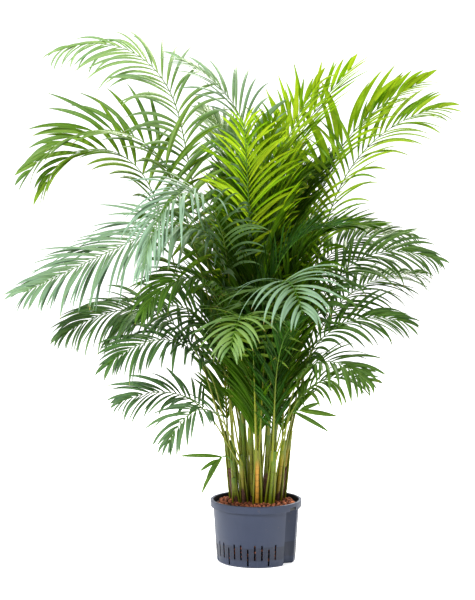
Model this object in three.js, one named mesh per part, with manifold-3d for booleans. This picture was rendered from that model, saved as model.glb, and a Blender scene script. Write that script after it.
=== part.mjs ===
// Potted areca palm: a clump of canes with feather fronds, standing in clay granules in a
// slotted hydroculture pot. Millimetres, +Z up. The origin is the centre of the pot's
// underside, and -Y is the front of the pot.
import * as THREE from "three";
import { mergeVertices } from "three/addons/utils/BufferGeometryUtils.js";
import Module from "manifold-3d";

const wasm = await Module();
wasm.setup();

// ---- Driving dimensions ----

const GAP = 0.3; // clearance between pieces that touch

// Pot
const RIM_DIAMETER = 280;
const POT_HEIGHT = 190;
const LIP_OVERHANG = 8.5; // from the rim's outer edge back to the wall
const DRAFT = 10.5; // the wall is this much smaller in radius at its foot than under the lip
const FOOT_CORNER = 8; // radius between wall and underside
const WALL = 2;
const BASE = 4;
const LIP_HEIGHT = 22; // of the rim's turned-down lip
const LIP_WALL = 2.2;
const LIP_TAPER = 1; // the lip is this much smaller in radius at its lower edge
const RIM_CHAMFER = 1;
const POT_SIDES = 48;

// Channel in the pot's wall for a water gauge
const CHANNEL_BEARING = 57; // degrees to the right of the front
const CHANNEL_DEPTH = 23; // from the foot of the wall to the channel's floor
const CHANNEL_LEFT = 31; // from the channel's middle to its steep side
const CHANNEL_CHAMFER = 6; // between the steep side and the floor
const CHANNEL_FLARE = [[6, 0], [20, 11], [31, 30], [34, 60]]; // its slanting side: across, out
const GAUGE_HOLE = { width: 30, height: 11, bearing: 53 }; // cut in the lip over the channel

// Slots in the lower wall, one high row and one low row
const SLOT_WIDTH = 4.5;
const SLOT_STEP = 10; // degrees
const SLOT_START = -2.4; // bearing of the first slot, in degrees from the front
const HIGH_SLOT = { bottom: 24, top: 70 };
const LOW_SLOT = { bottom: 6, top: 58 };
const SLOT_KEEP_OFF = 26; // degrees kept clear on each side of the channel
const FOOT_NOTCH = { width: 32, height: 2.4, depth: 9, count: 6, bearing: -10.5 };

// Clay granules
const HEADROOM = 16; // from the top of the rim down to the fill at the wall
const CROWN = 7; // the fill is this much higher in the middle
const CROWN_SHOULDER = { radius: 70, rise: 5.5 };

// Canes
const CANE_DEPTH = 90; // length below the top of the fill
const CANE_FAN = 0.0018; // share by which the clump widens for each millimetre of height
const CANE_ROOT = 0.8; // radius at the buried end, as a share of that at the fill
const CANE_TAPER = 0.86; // radius below the sheath, as a share of that at the fill
const SHEATH_RADIUS = 7.6; // at the widest, where the sheath holds the frond stalks
const SHEATH_MOUTH_RADIUS = 6.8;
const SHEATH = 46; // length of the widened sheath
const CANE_SIDES = 6;

// Fronds
const SOCKET = 30; // depth that a stalk sits in its sheath
const SEAT_RADIUS = 4.4; // from the cane's axis to each stalk's axis, inside the sheath
const STALK_RADIUS = 2.8;
const STALK_TIP_RADIUS = 0.9;
const STALK_SIDES = 4;
const MIDRIB_STEPS = 60;
const LAST_SHARE = 0.97; // of a frond's length, from its socket to the last leaflets
const LEAFLET_PAIRS = 6;
const LEAFLET_WIDTH = 16;
const LEAFLET_THICKNESS = 1.1;
const LEAFLET_SPREAD = [58, 24]; // angle from the midrib, at the first and the last pair
const LEAFLET_LIFT = 24; // angle that the leaflets stand above the frond's own plane
const LEAFLET_SHARE = [0.8, 0.34]; // length of the first and the last pair, as a share
const LEAFLET_FULL = [0.4, 0.6]; // the pairs between these places have their full length
const LEAFLET_WIDEST = 0.4; // place along a leaflet where it is widest
const LEAFLET_TRIES = [1, 0.8, 0.6, 0.4]; // a leaflet that meets another piece is made shorter

// Each cane: x and y where it leaves the fill, its height above the fill, its radius there.
const CANES = [
  [2, -51, 170, 6.5],
  [-37, -33, 150, 5.5],
  [42, -45, 165, 6],
  [26, -18, 240, 5.5],
  [-13, -19, 230, 5.5],
  [-55, -4, 190, 5.5],
  [64, -8, 190, 5.5],
  [-68, 38, 210, 5.5],
  [-29, 14, 270, 6],
  [6, 12, 290, 6],
  [40, 20, 260, 6],
  [76, 36, 210, 5.5],
  [-33, 58, 240, 5.5],
  [6, 50, 260, 5.5],
  [44, 66, 230, 5.5],
  [-60, -30, 80, 4.5],
];

// Each frond: cane number, bearing it leans to (degrees from +X towards +Y), slope at its
// foot and at its tip (degrees above level), the shares of its length between which it
// bends from the one to the other, its length, the length of its middle leaflets, how far
// they hang (degrees), its roll about its own midrib (degrees), and the share of its length
// that is bare stalk below the first leaflets.
const FRONDS = [
  // cane 1
  [1, 255, 84, -50, 0.4, 1, 680, 180, 50, 0, 0.47],
  [1, 318, 86, 0, 0.44, 1.08, 870, 210, 50, 25, 0.24],
  [1, 120, 88, 50, 0.43, 1.08, 950, 220, 50, -15, 0.2],
  // cane 2
  [2, 190, 60, -20, 0.2, 1, 475, 150, 50, -35, 0.44],
  [2, 228, 60, -50, 0.21, 1, 440, 150, 50, -20, 0.45],
  [2, 174, 80, -50, 0.34, 1, 800, 185, 60, -40, 0.39],
  // cane 3
  [3, 345, 72, -10, 0.23, 1, 440, 140, 60, 30, 0.46],
  [3, 288, 84, 15, 0.27, 1, 590, 150, 60, 10, 0.16],
  [3, 15, 62, 28, 0.3, 1, 215, 110, 40, 20, 0.6],
  // cane 4
  [4, 285, 82, -45, 0.39, 1, 740, 220, 50, 15, 0.47],
  [4, 40, 86, 30, 0.43, 1.08, 940, 220, 50, 20, 0.2],
  [4, 150, 88, 60, 0.46, 1.08, 800, 220, 50, -15, 0.14],
  // cane 5
  [5, 262, 89, 60, 0.41, 1.08, 980, 220, 40, 0, 0.41],
  [5, 10, 88, 50, 0.42, 1.08, 840, 220, 50, 25, 0.18],
  [5, 120, 88, 55, 0.43, 1.08, 830, 220, 50, -15, 0.16],
  // cane 6
  [6, 200, 86, -24, 0.4, 0.67, 1285, 250, 60, -25, 0.37],
  [6, 212, 74, -32, 0.21, 1, 655, 165, 60, -30, 0.44],
  [6, 225, 85, -45, 0.37, 1, 830, 190, 60, -20, 0.41],
  // cane 7
  [7, 355, 78, -20, 0.25, 1.08, 640, 175, 60, 35, 0.41],
  [7, 317, 79, -30, 0.19, 1, 520, 160, 60, 25, 0.44],
  [7, 70, 86, 20, 0.31, 1.09, 830, 220, 50, 20, 0.2],
  // cane 8
  [8, 180, 74, -78, 0.57, 1.07, 1245, 230, 50, -45, 0.37],
  [8, 200, 72, -30, 0.21, 1, 780, 190, 60, -35, 0.42],
  [8, 110, 82, -20, 0.31, 1.09, 930, 220, 50, -15, 0.2],
  // cane 9
  [9, 178, 75, -48, 0.48, 1, 1335, 230, 50, -45, 0.4],
  [9, 237, 80, -70, 0.39, 1, 1150, 220, 60, -15, 0.41],
  // cane 10
  [10, 165, 89, 20, 0.55, 1.08, 1190, 230, 50, -25, 0.42],
  [10, 30, 87, 50, 0.44, 1.08, 1070, 230, 50, 20, 0.3],
  [10, 285, 88, 60, 0.46, 1.08, 910, 220, 40, 0, 0.3],
  // cane 11
  [11, 8, 76, 4, 0.46, 1.13, 1180, 225, 50, 45, 0.41],
  [11, 75, 86, 20, 0.42, 1.08, 1020, 230, 50, 15, 0.22],
  [11, 320, 84, 0, 0.37, 1, 840, 210, 60, 25, 0.24],
  // cane 12
  [12, 2, 78, -25, 0.36, 1.08, 855, 195, 60, 40, 0.43],
  [12, 30, 74, 0, 0.19, 1, 800, 190, 60, 25, 0.43],
  // cane 13
  [13, 172, 79, -24, 0.6, 1.05, 1485, 240, 50, -45, 0.39],
  [13, 95, 84, -20, 0.42, 1.08, 1040, 230, 50, 10, 0.22],
  // cane 14
  [14, 20, 86, 45, 0.42, 1, 1180, 250, 40, 25, 0.42],
  [14, 120, 86, 20, 0.42, 1.08, 1120, 230, 50, -15, 0.3],
  // cane 15
  [15, 11, 81, 22, 0.41, 1.09, 1245, 225, 50, 45, 0.39],
  [15, 24, 79, -5, 0.31, 1, 900, 195, 60, 30, 0.43],
  [15, 100, 80, -25, 0.42, 1.08, 990, 220, 50, 10, 0.24],
  // cane 16
  [16, 195, 78, 35, 0, 1, 115, 110, 60, -20, 0.6],
];

// ---- Materials ----

const plastic = new THREE.MeshStandardMaterial({ color: 0x5a6478, roughness: 0.5 });
const clay = new THREE.MeshStandardMaterial({ color: 0x8a5240, roughness: 0.95 });
const cane = new THREE.MeshStandardMaterial({ color: 0x9a9a35, roughness: 0.5 });
const leaf = new THREE.MeshStandardMaterial({ color: 0x4c7a2a, roughness: 0.45 });

// ---- Tools ----

const radians = THREE.MathUtils.degToRad;
const vector = (x, y, z) => new THREE.Vector3(x, y, z);
const mix = (a, b, share) => a + (b - a) * share;

// The part's list of corners as a closed manifold solid. Corners that coincide are merged,
// and a triangle that has lost a side that way is dropped.
function solid(geometry) {
  const loose = geometry.index ? geometry.toNonIndexed() : geometry;
  const bare = new THREE.BufferGeometry().setAttribute("position", loose.getAttribute("position"));
  const merged = mergeVertices(bare, 1e-3);
  const index = merged.index.array;
  const corners = [];
  for (let i = 0; i < index.length; i += 3) {
    const [a, b, c] = index.slice(i, i + 3);
    if (a !== b && b !== c && c !== a) corners.push(a, b, c);
  }
  return new wasm.Manifold(
    new wasm.Mesh({
      numProp: 3,
      vertProperties: merged.attributes.position.array,
      triVerts: new Uint32Array(corners),
    }),
  );
}

// A manifold solid as a named mesh.
function piece(name, made, material) {
  const mesh = made.getMesh();
  const geometry = new THREE.BufferGeometry();
  geometry.setAttribute("position", new THREE.BufferAttribute(mesh.vertProperties, 3));
  geometry.setIndex(new THREE.BufferAttribute(mesh.triVerts, 1));
  geometry.computeVertexNormals();
  const object = new THREE.Mesh(geometry, material);
  object.name = name;
  return object;
}

// A closed skin over rings of corners, all rings alike in number, with flat ends. A ring
// of one corner is a point.
function loft(rings) {
  const sides = Math.max(...rings.map((ring) => ring.length));
  const at = (ring, i) => ring[i % ring.length];
  const triangles = [];
  const add = (a, b, c) => triangles.push(a, b, c);
  for (let k = 0; k + 1 < rings.length; k += 1) {
    const [low, high] = [rings[k], rings[k + 1]];
    for (let i = 0; i < sides; i += 1) {
      const j = (i + 1) % sides;
      if (low.length > 1) add(at(low, i), at(low, j), at(high, j));
      if (high.length > 1) add(at(low, i), at(high, j), at(high, i));
    }
  }
  const [first, last] = [rings[0], rings[rings.length - 1]];
  for (let i = 1; i + 1 < first.length; i += 1) add(first[0], first[i + 1], first[i]);
  for (let i = 1; i + 1 < last.length; i += 1) add(last[0], last[i], last[i + 1]);
  let volume = 0;
  for (let i = 0; i < triangles.length; i += 3) {
    volume += triangles[i].dot(triangles[i + 1].clone().cross(triangles[i + 2]));
  }
  if (volume < 0) triangles.reverse();
  return solid(new THREE.BufferGeometry().setFromPoints(triangles));
}

// A solid of revolution about Z from [radius, height] pairs.
function turned(profile, sides = POT_SIDES) {
  const points = profile.map(([radius, height]) => new THREE.Vector2(radius, height));
  return solid(new THREE.LatheGeometry(points, sides).rotateX(Math.PI / 2));
}

// A box whose middle stands at a bearing to the right of the front, facing outwards.
function boxAt(bearing, radius, [across, along, high], bottom) {
  const box = new THREE.BoxGeometry(across, along, high);
  box.translate(0, -radius, bottom + high / 2);
  return solid(box.rotateZ(radians(bearing)));
}

// ---- Pot ----

const rimRadius = RIM_DIAMETER / 2;
const wallTopRadius = rimRadius - LIP_OVERHANG;
const footRadius = wallTopRadius - DRAFT;
const channelFloor = footRadius - CHANNEL_DEPTH;
const fillEdge = POT_HEIGHT - HEADROOM;
const fillCrown = fillEdge + CROWN;
const lipBottom = POT_HEIGHT - LIP_HEIGHT;
const lipInside = rimRadius - LIP_TAPER - LIP_WALL;
const flangeBottom = POT_HEIGHT - LIP_WALL;
const wallSlope = (wallTopRadius - footRadius) / (lipBottom - FOOT_CORNER);

// Radii of the pot's wall, outside and inside, at a height.
const wallRadius = (height) => footRadius + wallSlope * Math.max(0, height - FOOT_CORNER);
const insideRadius = (height) => wallRadius(height) - WALL;

// The round inside of the pot, drawn in from its walls by a clearance, up to a height at
// the wall, with a further outline from there to the axis.
function potInside(clearance, edgeHeight, top) {
  const floor = BASE + clearance;
  return turned([
    [0, floor],
    [insideRadius(0) - FOOT_CORNER / 2 - clearance, floor],
    [insideRadius(0) - clearance, floor + FOOT_CORNER / 2],
    [insideRadius(edgeHeight) - clearance, edgeHeight],
    ...top,
  ]);
}

// The gauge channel's space, or with a wall's thickness the space and that wall. Across
// is the direction to the right of it, seen from outside.
function channel(wall, bottom, top) {
  const [left, floor] = [-CHANNEL_LEFT - wall, channelFloor - wall];
  const outermost = floor + CHANNEL_FLARE[CHANNEL_FLARE.length - 1][1];
  const outline = new THREE.Shape([
    new THREE.Vector2(left, -outermost),
    new THREE.Vector2(left, -floor - CHANNEL_CHAMFER),
    new THREE.Vector2(left + CHANNEL_CHAMFER, -floor),
    ...CHANNEL_FLARE.map(([across, out]) => new THREE.Vector2(across + wall, -floor - out)),
  ]);
  const space = new THREE.ExtrudeGeometry(outline, { depth: top - bottom, bevelEnabled: false });
  space.translate(0, 0, bottom).rotateZ(radians(CHANNEL_BEARING));
  return solid(space);
}

// Bearings of the wall's slots. Every third one is low, and none is near the channel.
const slots = [];
for (let k = 0; k * SLOT_STEP < 360; k += 1) {
  const bearing = SLOT_START + k * SLOT_STEP;
  const off = Math.abs(((bearing - CHANNEL_BEARING + 540) % 360) - 180);
  if (off > SLOT_KEEP_OFF) slots.push({ bearing, ...(k % 3 === 2 ? LOW_SLOT : HIGH_SLOT) });
}

function culturePot() {
  const corner = [30, 60].map((degrees) => [
    footRadius - FOOT_CORNER * (1 - Math.sin(radians(degrees))),
    FOOT_CORNER * (1 - Math.cos(radians(degrees))),
  ]);
  const outside = turned([
    [0, 0],
    [footRadius - FOOT_CORNER, 0],
    ...corner,
    [footRadius, FOOT_CORNER],
    [wallRadius(flangeBottom), flangeBottom],
    [lipInside, flangeBottom],
    [lipInside, lipBottom],
    [rimRadius - LIP_TAPER, lipBottom],
    [rimRadius, POT_HEIGHT - RIM_CHAMFER],
    [rimRadius - RIM_CHAMFER, POT_HEIGHT],
    [0, POT_HEIGHT],
  ]);
  const above = POT_HEIGHT + 1;
  const hollow = potInside(0, above, [[0, above]]).subtract(channel(WALL, -1, above + 1));
  const lipRoom = turned([
    [0, -1],
    [lipInside, -1],
    [lipInside, flangeBottom],
    [0, flangeBottom],
  ]);
  let pot = outside.subtract(hollow).subtract(channel(0, -1, lipBottom));
  pot = pot.subtract(channel(0, lipBottom - 1, flangeBottom + 1).intersect(lipRoom));
  const hole = [GAUGE_HOLE.width, 2 * LIP_OVERHANG, GAUGE_HOLE.height + 1];
  pot = pot.subtract(boxAt(GAUGE_HOLE.bearing, rimRadius, hole, lipBottom - 1));
  for (const { bearing, bottom, top } of slots) {
    const slot = [SLOT_WIDTH, 4 * DRAFT, top - bottom];
    pot = pot.subtract(boxAt(bearing, footRadius, slot, bottom));
  }
  const { width, height, depth, count, bearing } = FOOT_NOTCH;
  for (let k = 0; k < count; k += 1) {
    const notch = [width, 2 * depth, height + 1];
    pot = pot.subtract(boxAt(bearing + (k * 360) / count, footRadius, notch, -1));
  }
  return pot;
}

// ---- Canes ----

// Middle line of a cane at a height: it leaves the fill at its own place and fans outwards.
function caneAt([x, y], height) {
  const fan = 1 + CANE_FAN * (height - fillCrown);
  return vector(x * fan, y * fan, height);
}

const caneTop = (row) => fillCrown + row[2];

// A level ring of a cane.
function caneRing(row, height, radius) {
  const middle = caneAt(row, height);
  return Array.from({ length: CANE_SIDES }, (_, i) => {
    const turn = (2 * Math.PI * i) / CANE_SIDES;
    return vector(Math.cos(turn), Math.sin(turn), 0).multiplyScalar(radius).add(middle);
  });
}

function caneSolid(row, clearance) {
  const foot = row[3];
  const top = caneTop(row);
  return loft([
    caneRing(row, fillCrown - CANE_DEPTH - clearance, foot * CANE_ROOT + clearance),
    caneRing(row, fillCrown, foot + clearance),
    caneRing(row, top - SHEATH, foot * CANE_TAPER + clearance),
    caneRing(row, top - SOCKET, SHEATH_RADIUS + clearance),
    caneRing(row, top, SHEATH_MOUTH_RADIUS + clearance),
  ]);
}

// ---- Fronds ----

// Points and directions along a frond's midrib. Share is 0 at the socket and 1 at the tip.
function midrib(row, seatBearing) {
  const [caneNumber, bearing, foot, tip, from, to, length, , , roll] = row;
  const caneRow = CANES[caneNumber - 1];
  const seat = radians(seatBearing);
  const start = caneAt(caneRow, caneTop(caneRow) - SOCKET);
  start.add(vector(Math.cos(seat), Math.sin(seat), 0).multiplyScalar(SEAT_RADIUS));
  const heading = vector(Math.cos(radians(bearing)), Math.sin(radians(bearing)), 0);
  const level = vector(-heading.y, heading.x, 0);
  const stations = [];
  const point = start.clone();
  for (let k = 0; k <= MIDRIB_STEPS; k += 1) {
    const share = k / MIDRIB_STEPS;
    const slope = radians(mix(foot, tip, THREE.MathUtils.smoothstep(share, from, to)));
    const along = heading.clone().multiplyScalar(Math.cos(slope)).setZ(Math.sin(slope));
    const steep = heading.clone().multiplyScalar(-Math.sin(slope)).setZ(Math.cos(slope));
    const side = level.clone().applyAxisAngle(along, radians(roll));
    const up = steep.clone().applyAxisAngle(along, radians(roll));
    stations.push({ share, point: point.clone(), along, up, side });
    point.addScaledVector(along, length / MIDRIB_STEPS);
  }
  return stations;
}

const stationAt = (stations, share) => stations[Math.round(share * (stations.length - 1))];

// Share of a frond's length at which its k-th pair of leaflets stands.
const pairShare = (bare, k) => mix(bare, LAST_SHARE, k / (LEAFLET_PAIRS - 1));

// The stalk and midrib, with a ring at every pair of leaflets. With a clearance it is that
// much larger all round, its seated end included.
function stalkSolid(stations, bare, clearance) {
  const pairs = Array.from({ length: LEAFLET_PAIRS }, (_, k) => pairShare(bare, k));
  const shares = [0, bare / 2, ...pairs, 1];
  const rings = shares.map((wanted) => {
    const { share, point, along, up, side } = stationAt(stations, wanted);
    const radius = mix(STALK_RADIUS, STALK_TIP_RADIUS, share) + clearance;
    const middle = point.clone().addScaledVector(along, share === 0 ? -clearance : 0);
    return Array.from({ length: STALK_SIDES }, (_, i) => {
      const turn = (2 * Math.PI * i) / STALK_SIDES;
      const out = side.clone().multiplyScalar(Math.cos(turn) * radius);
      return out.addScaledVector(up, Math.sin(turn) * radius).add(middle);
    });
  });
  return loft(rings);
}

// A leaflet: a thin blade, ridged along its middle, that leaves the midrib on one side and
// bends down along an arc of a circle.
function leafletSolid({ point, along, up, side }, hand, place, length, hang, clearance) {
  const spread = radians(mix(...LEAFLET_SPREAD, place));
  const lift = radians(LEAFLET_LIFT);
  const outward = side.clone().multiplyScalar(hand * Math.cos(lift));
  outward.addScaledVector(up, Math.sin(lift));
  const start = along.clone().multiplyScalar(Math.cos(spread));
  start.addScaledVector(outward, Math.sin(spread)).normalize();
  const slope = Math.asin(start.z);
  const heading = vector(start.x, start.y, 0).normalize();
  const across = vector(-heading.y, heading.x, 0);
  const steep = vector(0, 0, 1);
  const rise = heading.clone().multiplyScalar(-Math.sin(slope)).setZ(Math.cos(slope));
  const width = along.clone().addScaledVector(start, -along.dot(start)).normalize();
  const [flat, tilted] = [width.dot(across), width.dot(rise)];
  const bend = radians(hang) / length;
  const ring = (distance, wide, thick) => {
    const angle = slope - bend * distance;
    const middle = heading.clone().multiplyScalar((Math.sin(slope) - Math.sin(angle)) / bend);
    middle.addScaledVector(steep, (Math.cos(angle) - Math.cos(slope)) / bend).add(point);
    const normal = heading.clone().multiplyScalar(-Math.sin(angle)).setZ(Math.cos(angle));
    const edge = across.clone().multiplyScalar(flat).addScaledVector(normal, tilted);
    const ridge = normal.multiplyScalar(flat).addScaledVector(across, -tilted);
    if (ridge.z < 0) ridge.negate();
    if (wide === 0) return [middle];
    const low = middle.clone().addScaledVector(ridge, -thick / 2);
    return [
      low.clone().addScaledVector(edge, wide / 2),
      middle.clone().addScaledVector(ridge, thick / 2),
      low.clone().addScaledVector(edge, -wide / 2),
    ];
  };
  const swell = 2 * clearance;
  return loft([
    ring(0, STALK_TIP_RADIUS + swell, LEAFLET_THICKNESS + swell),
    ring(length * LEAFLET_WIDEST, LEAFLET_WIDTH + swell, LEAFLET_THICKNESS + swell),
    ring(length + swell, swell, swell),
  ]);
}

// ---- Assembly ----

const boxOf = (made) => {
  const { min, max } = made.boundingBox();
  return new THREE.Box3(vector(...min), vector(...max));
};
const boxed = (made) => ({ made, box: boxOf(made) });
const meets = (a, b) => a.box.intersectsBox(b.box) && !a.made.intersect(b.made).isEmpty();

// Seats round a cane's axis, evenly spaced, in the order of the bearings that its fronds
// lean to and as near to those bearings as they can be, so that stalks don't cross.
function seatBearings(rows) {
  const seats = new Map();
  CANES.forEach((_, number) => {
    const own = rows.filter(([caneNumber]) => caneNumber === number + 1);
    own.sort((a, b) => a[1] - b[1]);
    const step = 360 / own.length;
    const first = own.reduce((sum, row, k) => sum + row[1] - k * step, 0) / own.length;
    own.forEach((row, k) => seats.set(row, first + k * step));
  });
  return seats;
}

const seats = seatBearings(FRONDS);
const lines = FRONDS.map((row) => midrib(row, seats.get(row)));
const bareShares = FRONDS.map((row) => row[row.length - 1]);
const stalks = lines.map((stations, k) => boxed(stalkSolid(stations, bareShares[k], 0)));
const bareCanes = CANES.map((row) => boxed(caneSolid(row, 0)));

const palm = new THREE.Group();
palm.name = "potted_palm";
const twoDigits = (number) => String(number).padStart(2, "0");

const pot = culturePot();
palm.add(piece("culture_pot", pot, plastic));

const shoulder = [CROWN_SHOULDER.radius, fillEdge + CROWN_SHOULDER.rise];
let fill = potInside(GAP, fillEdge, [shoulder, [0, fillCrown]]);
fill = fill.subtract(channel(WALL + GAP, -1, POT_HEIGHT));
for (const row of CANES) fill = fill.subtract(caneSolid(row, GAP));
palm.add(piece("clay_granules", fill, clay));

bareCanes.forEach(({ made }, number) => {
  let sheathed = made;
  FRONDS.forEach(([caneNumber], k) => {
    if (caneNumber !== number + 1) return;
    sheathed = sheathed.subtract(stalkSolid(lines[k], bareShares[k], GAP));
  });
  palm.add(piece(`cane_${twoDigits(number + 1)}`, sheathed, cane));
});

// Length of a pair of leaflets, as a share of the longest, from its place along the frond.
function lengthShare(place) {
  const [from, to] = LEAFLET_FULL;
  const growth = THREE.MathUtils.clamp(place / from, 0, 1);
  const decline = THREE.MathUtils.clamp((place - to) / (1 - to), 0, 1);
  return mix(LEAFLET_SHARE[0], 1, growth) * mix(1, LEAFLET_SHARE[1], decline);
}

// Leaflets are placed in turn. One that would meet a piece already there gives way.
const placed = [boxed(pot), boxed(fill), ...bareCanes];
FRONDS.forEach((row, number) => {
  const [middleLength, hang] = row.slice(7);
  const others = [...placed, ...stalks.filter((_, k) => k !== number)];
  let frond = stalks[number].made;
  for (let k = 0; k < LEAFLET_PAIRS; k += 1) {
    const place = k / (LEAFLET_PAIRS - 1);
    const share = lengthShare(place);
    const station = stationAt(lines[number], pairShare(bareShares[number], k));
    for (const hand of [-1, 1]) {
      const make = (shrink, clearance) =>
        leafletSolid(station, hand, place, middleLength * share * shrink, hang, clearance);
      const fits = (shrink) => {
        const swollen = boxed(make(shrink, GAP));
        return !others.some((other) => meets(swollen, other));
      };
      const shrink = LEAFLET_TRIES.find(fits);
      if (shrink === undefined) continue;
      const leaflet = make(shrink, 0);
      placed.push(boxed(leaflet));
      frond = frond.add(leaflet);
    }
  }
  palm.add(piece(`frond_${twoDigits(number + 1)}`, frond, leaf));
});

export default palm;
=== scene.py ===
# %% [markdown]
# # A potted areca palm
# A clump of ringed canes with long feather fronds stands in fired clay granules, in a
# slotted pot for growing in water. A fixed model gives the place and size of every part, and
# the pieces made here stand in for its nodes. The finished pieces are in metres, +Z is up,
# and the front of the pot faces -Y.

# %% Load the fixed model
import math
from functools import partial
import bpy
import bmesh
from mathutils import Matrix, Vector


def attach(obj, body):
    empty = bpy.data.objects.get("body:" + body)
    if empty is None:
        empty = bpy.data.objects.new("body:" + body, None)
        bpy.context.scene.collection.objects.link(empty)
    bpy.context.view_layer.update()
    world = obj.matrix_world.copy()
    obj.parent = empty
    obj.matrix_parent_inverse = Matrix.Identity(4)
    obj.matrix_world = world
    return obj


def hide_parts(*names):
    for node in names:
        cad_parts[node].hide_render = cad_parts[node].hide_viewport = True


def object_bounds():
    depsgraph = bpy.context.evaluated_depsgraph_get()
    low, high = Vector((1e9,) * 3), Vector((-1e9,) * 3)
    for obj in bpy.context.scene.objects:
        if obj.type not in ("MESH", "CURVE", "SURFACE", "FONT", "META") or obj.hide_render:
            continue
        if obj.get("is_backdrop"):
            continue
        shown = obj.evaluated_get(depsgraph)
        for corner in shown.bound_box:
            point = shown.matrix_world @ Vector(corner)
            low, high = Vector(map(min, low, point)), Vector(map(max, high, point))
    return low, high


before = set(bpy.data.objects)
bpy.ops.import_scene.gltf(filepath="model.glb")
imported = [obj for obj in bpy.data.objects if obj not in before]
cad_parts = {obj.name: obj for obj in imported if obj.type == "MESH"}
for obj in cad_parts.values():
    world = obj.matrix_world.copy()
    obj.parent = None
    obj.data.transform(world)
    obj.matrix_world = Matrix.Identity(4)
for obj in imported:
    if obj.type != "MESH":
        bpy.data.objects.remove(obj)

scene = bpy.context.scene
fixed_box = [list(corner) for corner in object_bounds()]
print("nodes:", len(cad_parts), " box:", fixed_box)

# %% [markdown]
# ## Camera
# The camera comes first, because everything is seen through it. It stands five metres
# in front of the plant at chest height and looks slightly down. From so far away with a
# long lens, the near fronds aren't drawn much larger than the far ones.

# %% Camera
CAMERA_PLACE = Vector((-0.057, -5.0, 1.17))
CAMERA_TILT = math.atan(0.37 / 5.0)
FOCAL_LENGTH, SENSOR_WIDTH, FARTHEST = 99.0, 36.0, 60.0

lens = bpy.data.cameras.new("camera")
lens.lens, lens.sensor_width, lens.clip_end = FOCAL_LENGTH, SENSOR_WIDTH, FARTHEST
camera = bpy.data.objects.new("camera", lens)
camera.location = CAMERA_PLACE
camera.rotation_euler = (math.pi / 2 - CAMERA_TILT, 0.0, 0.0)
scene.collection.objects.link(camera)
scene.camera = camera
print("camera looks down by", round(math.degrees(CAMERA_TILT), 2), "degrees")

# %% [markdown]
# ## Formulas as nodes
# A palm grows by rules, and Geometry Nodes are where Blender keeps rules. Wiring a formula
# node by node is long to read, so a small class lets Python's + - * / add the math nodes.
# The result is an ordinary node tree that can be opened and changed.

# %% A node's output that can be used in a formula
class Field:
    tree = None  # the tree being built, to which every new node goes

    def __init__(self, socket):
        self.socket = socket

    def out(self, name):
        """Another output of the same node."""
        outputs = self.socket.node.outputs
        return Field(next(s for s in outputs if s.enabled and s.name == name))

    def __neg__(self):
        return arithmetic("MULTIPLY", self, -1.0)


def add_operator(sign, operation):
    """Gives Field one of Python's signs, for a field on its left and on its right."""
    setattr(Field, f"__{sign}__", lambda own, other: arithmetic(operation, own, other))
    setattr(Field, f"__r{sign}__", lambda own, other: arithmetic(operation, other, own))


SIGNS = {"add": "ADD", "sub": "SUBTRACT", "mul": "MULTIPLY", "truediv": "DIVIDE"}
for sign, operation in SIGNS.items():
    add_operator(sign, operation)


# %% Adding nodes and linking them
def plug(socket, value):
    """Links a field to a socket, or sets the socket to a plain value."""
    if isinstance(value, Field):
        Field.tree.links.new(value.socket, socket)
    else:
        socket.default_value = value


def node(kind, inputs=None, **settings):
    """Adds a node, fills its inputs by name or number, and returns its first output.
    A kind without a prefix is a geometry node."""
    made = Field.tree.nodes.new(kind if "Node" in kind else "GeometryNode" + kind)
    for name, value in settings.items():
        setattr(made, name, value)
    sockets = [socket for socket in made.inputs if socket.enabled]
    for key, value in (inputs or {}).items():
        by_number = isinstance(key, int)
        socket = sockets[key] if by_number else next(s for s in sockets if s.name == key)
        plug(socket, value)
    return Field(next(socket for socket in made.outputs if socket.enabled))


def is_vector(value):
    if isinstance(value, Field):
        return value.socket.type == "VECTOR"
    return isinstance(value, tuple)


def arithmetic(operation, first, second):
    if not is_vector(first) and not is_vector(second):
        return plain(operation, first, second)
    if operation == "MULTIPLY" and not (is_vector(first) and is_vector(second)):
        way, size = (first, second) if is_vector(first) else (second, first)
        return with_arrows("SCALE", way, size)
    return with_arrows(operation, first, second)


# %% The functions that the formulas use
def plain(operation, *values):
    return node("ShaderNodeMath", dict(enumerate(values)), operation=operation)


def with_arrows(operation, *values):
    return node("ShaderNodeVectorMath", dict(enumerate(values)), operation=operation)


dot, unit = partial(with_arrows, "DOT_PRODUCT"), partial(with_arrows, "NORMALIZE")
sine, cosine, radians, size_of, least, most, over = (
    partial(plain, operation) for operation in (
        "SINE", "COSINE", "RADIANS", "ABSOLUTE", "MINIMUM", "MAXIMUM", "GREATER_THAN"))


def mix(first, second, share):
    return first + (second - first) * share


def ramp(value, low, high):
    """Rises smoothly from 0 to 1 as the value goes from low to high."""
    inputs = {"Value": value, "From Min": low, "From Max": high}
    return node("ShaderNodeMapRange", inputs, interpolation_type="SMOOTHSTEP")


def arrow(x, y, z):
    return node("ShaderNodeCombineXYZ", {"X": x, "Y": y, "Z": z})


def parts(value):
    split = node("ShaderNodeSeparateXYZ", {0: value})
    return split.out("X"), split.out("Y"), split.out("Z")


def curve_of(value, points):
    """A curve through given points from (0, ...) to (1, ...)."""
    found = node("ShaderNodeFloatCurve", {"Value": value})
    mapping = found.socket.node.mapping
    line = mapping.curves[0]
    line.points[0].location, line.points[-1].location = points[0], points[-1]
    for x, y in points[1:-1]:
        line.points.new(x, y)
    mapping.update()
    return found


print("formula helpers are ready")

# %% [markdown]
# ## Growing a tree of nodes into a mesh
# Each geometry tree has named inputs, as a recipe names its amounts. They are set through
# the sockets' own identifiers before the object is first evaluated. The result is copied
# into a plain mesh, so nothing later depends on a live modifier.

# %% Geometry trees with named inputs
ARROW = "FLOAT_VECTOR"
SOCKET_KINDS = {float: "NodeSocketFloat", int: "NodeSocketInt", str: "NodeSocketMaterial"}


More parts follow.
